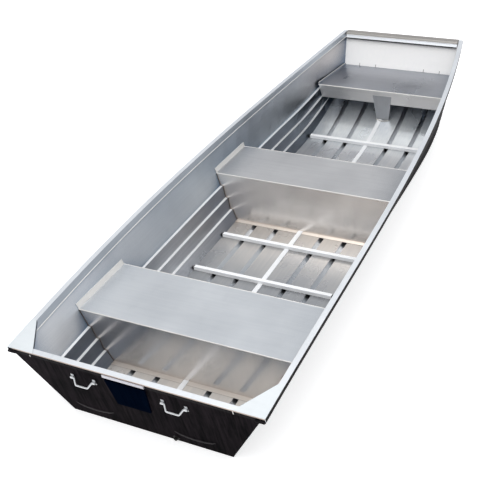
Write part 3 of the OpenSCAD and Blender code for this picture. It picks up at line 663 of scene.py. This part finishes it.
class Plate:
    """Places on the outer face of an end panel: across the boat, down from its top edge and outward."""

    def __init__(self, node, end):
        mesh = NODES[node].data
        faces = [p for p in mesh.polygons if end * p.normal.x > FACING]
        places = [mesh.vertices[i].co for p in faces for i in p.vertices]
        self.out = faces[0].normal.copy()
        self.up = self.out.cross(TO_PORT).normalized()
        if self.up.z < 0:
            self.up.negate()
        top = max(places, key=lambda place: place.z)
        self.origin = Vector((top.x, 0.0, top.z))

    def at(self, y, down, out=0.0):
        return self.origin + Vector((0, y, 0)) - down * self.up + out * self.out

    def down(self, place):
        return -(place - self.origin).dot(self.up)


TRANSOM = Plate("transom_panel", -1)
BOW = Plate("bow_panel", 1)
RAIL_WALL = 0.002
PANEL_WALL = 0.002

# Stamped stiffening beads low on the transom: distance along each bead, dip below its ends, thickness
BEAD_SHAPE = [
    (-0.108, 0.0, 0.35), (-0.085, 0.011, 0.9), (-0.045, 0.019, 1.0), (0.0, 0.022, 1.0),
    (0.045, 0.019, 1.0), (0.085, 0.011, 0.9), (0.108, 0.0, 0.35),
]
BEAD_MIDDLES = (0.292, -0.257)
BEAD_DOWN = 0.322
BEAD_RADIUS = 0.0045

# Strip on the motor pad, and the gunwales' rolled ends
TRIM_DOWN = 0.011
TRIM_OUT = 0.0055
TRIM_OVERHANG = 0.002
TRIM_SECTION = (0.007, 0.018, 0.0025)
END_LENGTH = 0.050
END_OVERHANG = 0.002
END_DOWN = 0.017
END_LIFT = 0.003
END_RADIUS = 0.008
END_SIDES = 12


def add_beads():
    """Two shallow curved beads in the transom sheet."""
    paths = []
    for middle in BEAD_MIDDLES:
        paths.append([TRANSOM.at(middle + along, BEAD_DOWN + dip) for along, dip, _ in BEAD_SHAPE])
    scales = [thickness for _, _, thickness in BEAD_SHAPE]
    swept("transom_beads", paths, circle(BEAD_RADIUS), BEAD_SKIN, TRANSOM.out, scales)


def add_pad_trim():
    """Pale strip along the top of the motor pad."""
    low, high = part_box("motor_pad")
    ends = (low[1] - TRIM_OVERHANG, high[1] + TRIM_OVERHANG)
    start, end = (TRANSOM.at(y, TRIM_DOWN, TRIM_OUT) for y in ends)
    swept("pad_trim", [straight(start, end)], rounded_box(*TRIM_SECTION), TRIM_METAL, TRANSOM.up)


def add_rail_ends():
    """Rolled ends of the gunwales at the transom's corners."""
    bm = bmesh.new()
    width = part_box("transom_cap")[1][1]
    for _, side in SIDES:
        start = TRANSOM.at(side * (width - END_LENGTH), END_DOWN, RAIL_WALL + END_LIFT)
        end = TRANSOM.at(side * (width + END_OVERHANG), END_DOWN, RAIL_WALL + END_LIFT)
        path, scales = rounded_ends(start, end, END_RADIUS)
        sweep(bm, path, circle(END_RADIUS, END_SIDES), scales=scales)
    finish_piece("rail_ends", bm, EDGE_SKIN)


# Welds: the ripple's pitch, steps in each and depth, then the bracket's bead and the tacks
RIPPLE_PITCH = 0.004
RIPPLE_STEPS = 4
RIPPLE_DEPTH = 0.16
WELD_RADIUS = 0.0045
WELD_LIFT = 0.002
WELD_HALF = 0.046
WELD_FALL = 0.25
WELD_LINE = ((-1, 0.0), (-0.6, 0.008), (-0.2, 0.013), (0.25, 0.014), (0.65, 0.008), (1, 0.0))
TACK_RADIUS = 0.0022
CAP_TACKS = ((-0.522, -0.001), (0.548, 0.012))
CAP_TACK_FOOT = 0.0248
FLANGE_TACKS = (0.281, 0.160, -0.193, -0.307)
FLANGE_TACK_INSET = (0.003, 0.004)
FLANGE_TACK_OUT = 0.001


def ripple(path):
    """Path in short steps with the scales of a weld's ripples."""
    fine, scales = [], []
    for start, end in zip(path, path[1:]):
        steps = max(2, round((end - start).length / (RIPPLE_PITCH / RIPPLE_STEPS)))
        for k in range(steps):
            fine.append(start.lerp(end, k / steps))
    fine.append(path[-1])
    for k in range(len(fine)):
        taper = min(1.0, (k + 1) / RIPPLE_STEPS, (len(fine) - k) / RIPPLE_STEPS)
        scales.append(taper * (1.0 + RIPPLE_DEPTH * math.sin(2 * math.pi / RIPPLE_STEPS * k)))
    return fine, scales


def add_weld(bm, path, radius, up=UP):
    """Rippled bead along a path."""
    fine, scales = ripple(path)
    sweep(bm, fine, circle(radius, THIN_SIDES), up, scales)


def add_welds():
    """Weld beads at the bracket's foot and short tacks on the transom cap and the deck's flange."""
    low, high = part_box("bow_deck_bracket")
    middle = (low[1] + high[1]) / 2
    foot = low[2] + WELD_LIFT
    line = [Vector((low[0] - inward, middle + WELD_HALF * share, foot - WELD_FALL * inward))
            for share, inward in WELD_LINE]
    bm = bmesh.new()
    add_weld(bm, line, WELD_RADIUS)
    finish_piece("bracket_weld", bm, WELD_METAL)
    bm = bmesh.new()
    for y, top in CAP_TACKS:
        line = [TRANSOM.at(y, down, RAIL_WALL) for down in (top, CAP_TACK_FOOT)]
        add_weld(bm, line, TACK_RADIUS, TRANSOM.out)
    finish_piece("cap_tacks", bm, WELD_METAL)
    bm = bmesh.new()
    low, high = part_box("bow_deck_flange")
    for y in FLANGE_TACKS:
        top = Vector((high[0] - FLANGE_TACK_INSET[0], y, high[2] - FLANGE_TACK_INSET[1]))
        bottom = Vector((low[0] - FLANGE_TACK_OUT, y, low[2] - FLANGE_TACK_OUT))
        add_weld(bm, [bottom, top], TACK_RADIUS, TO_PORT)
    finish_piece("deck_tacks", bm, TACK_METAL)


# Rivet heads: radius and height of each ring, and their places in the handles' clips
RIVET = [(0.0034, 0.0), (0.0033, 0.0007), (0.0027, 0.0015), (0.0015, 0.0021), (0.0004, 0.0023)]
RIVET_SIDES = 12
RIVET_ASIDE = 0.008
RIVET_END = 0.005
CLIP_FACE = 0.0019


def add_rivet(bm, place, out):
    """Domed rivet head standing on a face."""
    across = out.orthogonal().normalized()
    above = out.cross(across)
    rings = []
    for radius, height in RIVET:
        rings.append([bm.verts.new(place + height * out + a * across + b * above)
                      for a, b in circle(radius, RIVET_SIDES)])
    skin_rings(bm, rings)


def add_clip_rivets():
    """Two rivets in each clip of the three handles."""
    for name, plate in (("port", TRANSOM), ("starboard", TRANSOM), ("bow", BOW)):
        node = "handle_clips_" + name
        downs = [plate.down(v.co) for v in NODES[node].data.vertices]
        low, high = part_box(node)
        bm = bmesh.new()
        for y in (low[1] + RIVET_ASIDE, high[1] - RIVET_ASIDE):
            for down in (min(downs) + RIVET_END, max(downs) - RIVET_END):
                add_rivet(bm, plate.at(y, down, CLIP_FACE), plate.out)
        finish_piece("clip_rivets_" + name, bm, ROD_METAL)


# Floor bars: how much aft counts against up in finding the edge of the crease, a line of painted shade, and
# the reach past the ends of the dark caps that stand for the shade in the open ends
CREASE_LEAN = 0.5
CREASE_RADIUS = 0.0008
BAR_SHADE_CAP_REACH = (-0.001, 0.002, 0.005)
BAR_SHADE_CAP_SECTION = (0.023, 0.018, 0.003)


def add_bar_trim():
    """Crease of painted shade along the upper aft edge of each floor bar, and dark caps in its ends as
    painted shade.
    """
    for bar in BARS:
        low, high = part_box(bar)
        places = corners(bar, lambda co: True)
        rank = [c.z - CREASE_LEAN * c.x for c in places]
        edge = [c for c, r in zip(places, rank) if r > max(rank) - NEAR]
        crease = circle(CREASE_RADIUS, THIN_SIDES)
        # Painted shade: a dark line along the bar's fold
        swept(bar + "_crease", [straight(edge[0], edge[-1])], crease, SHADED_LIP_METAL)
        middle = Vector(((low[0] + high[0]) / 2, 0.0, (low[2] + high[2]) / 2))
        shade_caps = []
        for side in (1, -1):
            shade_caps.append([middle + Vector((0, side * (high[1] + out), 0)) for out in BAR_SHADE_CAP_REACH])
        # Painted shade: dark caps where the bar's open ends are in shade
        swept(bar + "_caps", shade_caps, rounded_box(*BAR_SHADE_CAP_SECTION), EDGE_SKIN)


# Seams of the bench panels, and the turned edges of the gussets, dark navy as painted shade
SEAM_RADIUS = 0.002
SEAM_LIFT = 0.001
OFF_CENTRE = 0.1
GUSSET_CORNER = 0.003
GUSSET_DROP = 0.0075
GUSSET_START = 0.15
GUSSET_SPAN = 0.83
GUSSET_SECTION = (0.004, 0.014, 0.0015)


def stepped_edge(node, end, side):
    """Line up one stepped edge of a bench panel, on its outer face."""
    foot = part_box(node)[0][2] + PANEL_WALL
    levels = {}
    for c in corners(node, lambda co: side * co.y > OFF_CENTRE and co.z > foot - NEAR):
        levels.setdefault(round(c.z, 3), []).append(c)
    line = []
    for z in sorted(levels):
        turned = -end if z == min(levels) else end
        x = max(levels[z], key=lambda c: turned * c.x).x
        line += sorted((c for c in levels[z] if abs(c.x - x) < NEAR), key=lambda c: abs(c.y))
    return [c + Vector((end * SEAM_LIFT, 0, 0)) for c in line]


def add_seams():
    """Sealed seams up the ends of the bench panels."""
    for bench in ("rear_bench", "mid_bench"):
        for name, end in (("aft", -1), ("fore", 1)):
            node = f"{bench}_{name}_panel"
            lines = [stepped_edge(node, end, side) for side in (1, -1)]
            swept(node + "_seams", lines, circle(SEAM_RADIUS, THIN_SIDES), SEAM_METAL)


def add_gusset_edges():
    """Turned edge along most of the free side of each gusset, dark navy as painted shade."""
    for name, side in SIDES:
        node = "gusset_" + name
        low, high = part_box(node)
        places = corners(node, lambda co: True)
        aft = min((c for c in places if c.x < low[0] + GUSSET_CORNER), key=lambda c: side * c.y)
        fore = min((c for c in places if c.x > high[0] - GUSSET_CORNER), key=lambda c: side * c.y)
        drop = Vector((0, 0, GUSSET_DROP))
        path = [aft.lerp(fore, GUSSET_START + GUSSET_SPAN * k / LINE_STEPS) - drop
                for k in range(LINE_STEPS + 1)]
        swept("shaded_gusset_edge_" + name, [path], rounded_box(*GUSSET_SECTION), GUSSET_SHADE_SKIN)


add_noses()
add_flange_hems()
add_rail_hems()
add_bow_roll()
add_bar_trim()
add_seams()
add_beads()
add_pad_trim()
add_rail_ends()
add_welds()
add_clip_rivets()
add_gusset_edges()

# Camera, from the photograph's vanishing points and the boat's corners
EYE = Vector((-4.26479, -2.1343, 3.1831))
AIM = Vector((-0.53629, 0.0561, 0.226))
ROLL = -0.1209
FOCAL = 956.6271
PHOTO_WIDTH = 500.0
SENSOR_WIDTH = 36.0


def add_camera():
    """Camera at the photograph's place, with its roll and its focal length in pixels."""
    forward = (AIM - EYE).normalized()
    right = forward.cross(UP).normalized()
    up = right.cross(forward)
    across = math.cos(ROLL) * right + math.sin(ROLL) * up
    upward = math.cos(ROLL) * up - math.sin(ROLL) * right
    turn = Matrix((across, upward, -forward)).transposed()
    data = bpy.data.cameras.new("camera")
    data.sensor_width = SENSOR_WIDTH
    data.lens = FOCAL * data.sensor_width / PHOTO_WIDTH
    camera = bpy.data.objects.new("camera", data)
    camera.matrix_world = Matrix.Translation(EYE) @ turn.to_4x4()
    SCENE.collection.objects.link(camera)
    SCENE.camera = camera


# Stage: a wide pale floor, a sky by height from the horizon to straight up, and three soft lamps
FLOOR_HALF = 200.0
FLOOR_DROP = 0.001
FLOOR_CLOUDS = (0.7, 0.7, 0.7)
FLOOR_DARK = (0.90, 0.90, 0.90)
FLOOR_LIGHT = (0.92, 0.92, 0.92)
FLOOR_GLOW = 0.6
SKY = [
    (0.00, (0.68, 0.69, 0.70)),
    (0.14, (0.62, 0.63, 0.65)),
    (0.30, (0.44, 0.45, 0.48)),
    (0.44, (0.46, 0.475, 0.50)),
    (0.53, (0.66, 0.67, 0.69)),
    (0.62, (0.76, 0.77, 0.79)),
    (0.82, (0.88, 0.89, 0.90)),
    (1.00, (0.96, 0.97, 0.98)),
]
WARM = (1.0, 0.98, 0.96)


def add_floor():
    """Floor that the camera and the metal see as white, with the boat's shadow on it."""
    bm = bmesh.new()
    bmesh.ops.create_grid(bm, x_segments=2, y_segments=2, size=FLOOR_HALF)
    mesh = bpy.data.meshes.new("floor")
    bm.to_mesh(mesh)
    bm.free()
    floor = bpy.data.objects.new("floor", mesh)
    floor.location.z = -FLOOR_DROP
    SCENE.collection.objects.link(floor)
    tree = Tree("pale_floor")
    tree.constant(Roughness=0.9, Specular_IOR_Level=0.1)
    cast = tree.noise(FLOOR_CLOUDS, detail=2.0)
    tree.colour(tree.mix(cast, FLOOR_DARK, FLOOR_LIGHT))
    path = tree.add("ShaderNodeLightPath")
    seen = tree.math("MAXIMUM", path.outputs["Is Camera Ray"], path.outputs["Is Glossy Ray"])
    seen = tree.math("MAXIMUM", seen, path.outputs["Is Transmission Ray"])
    glow = tree.add("ShaderNodeEmission")
    tree.link(tree.math("MULTIPLY", seen, FLOOR_GLOW), glow.inputs["Strength"])
    joined = tree.add("ShaderNodeAddShader")
    tree.link(tree.shader.outputs["BSDF"], joined.inputs[0])
    tree.link(glow.outputs["Emission"], joined.inputs[1])
    tree.link(joined.outputs["Shader"], tree.nodes["Material Output"].inputs["Surface"])
    mesh.materials.append(tree.material)


def add_world():
    """Studio sky whose brightness follows the height above the horizon."""
    world = bpy.data.worlds.new("studio")
    SCENE.world = world
    world.use_nodes = True
    nodes, links = world.node_tree.nodes, world.node_tree.links
    coords = nodes.new("ShaderNodeTexCoord")
    split = nodes.new("ShaderNodeSeparateXYZ")
    ramp = nodes.new("ShaderNodeValToRGB")
    fill_ramp(ramp, SKY)
    links.new(coords.outputs["Generated"], split.inputs["Vector"])
    links.new(split.outputs["Z"], ramp.inputs["Fac"])
    links.new(ramp.outputs["Color"], nodes["Background"].inputs["Color"])


def add_lamp(name, place, aim, size, power, colour=WHITE):
    """Round area lamp, aimed at a place, that the camera doesn't see."""
    data = bpy.data.lights.new(name, "AREA")
    data.shape = "DISK"
    data.size = size
    data.energy = power
    data.color = colour
    lamp = bpy.data.objects.new(name, data)
    lamp.location = place
    lamp.rotation_euler = (Vector(aim) - Vector(place)).to_track_quat("-Z", "Y").to_euler()
    lamp.visible_camera = False
    SCENE.collection.objects.link(lamp)


add_camera()
add_floor()
add_world()
add_lamp("key_lamp", place=(-2.0, -0.6, 6.5), aim=(0.0, 0.0, 0.2), size=8.5, power=110.0)
add_lamp("bow_lamp", place=(-1.0, 0.0, 2.5), aim=(1.75, 0.0, 0.4), size=2.4, power=15.0)
add_lamp("fill_lamp", place=(1.5, -5.0, 5.0), aim=(0.3, 0.0, 0.2), size=5.0, power=50.0, colour=WARM)

SCENE.view_settings.view_transform = "Standard"
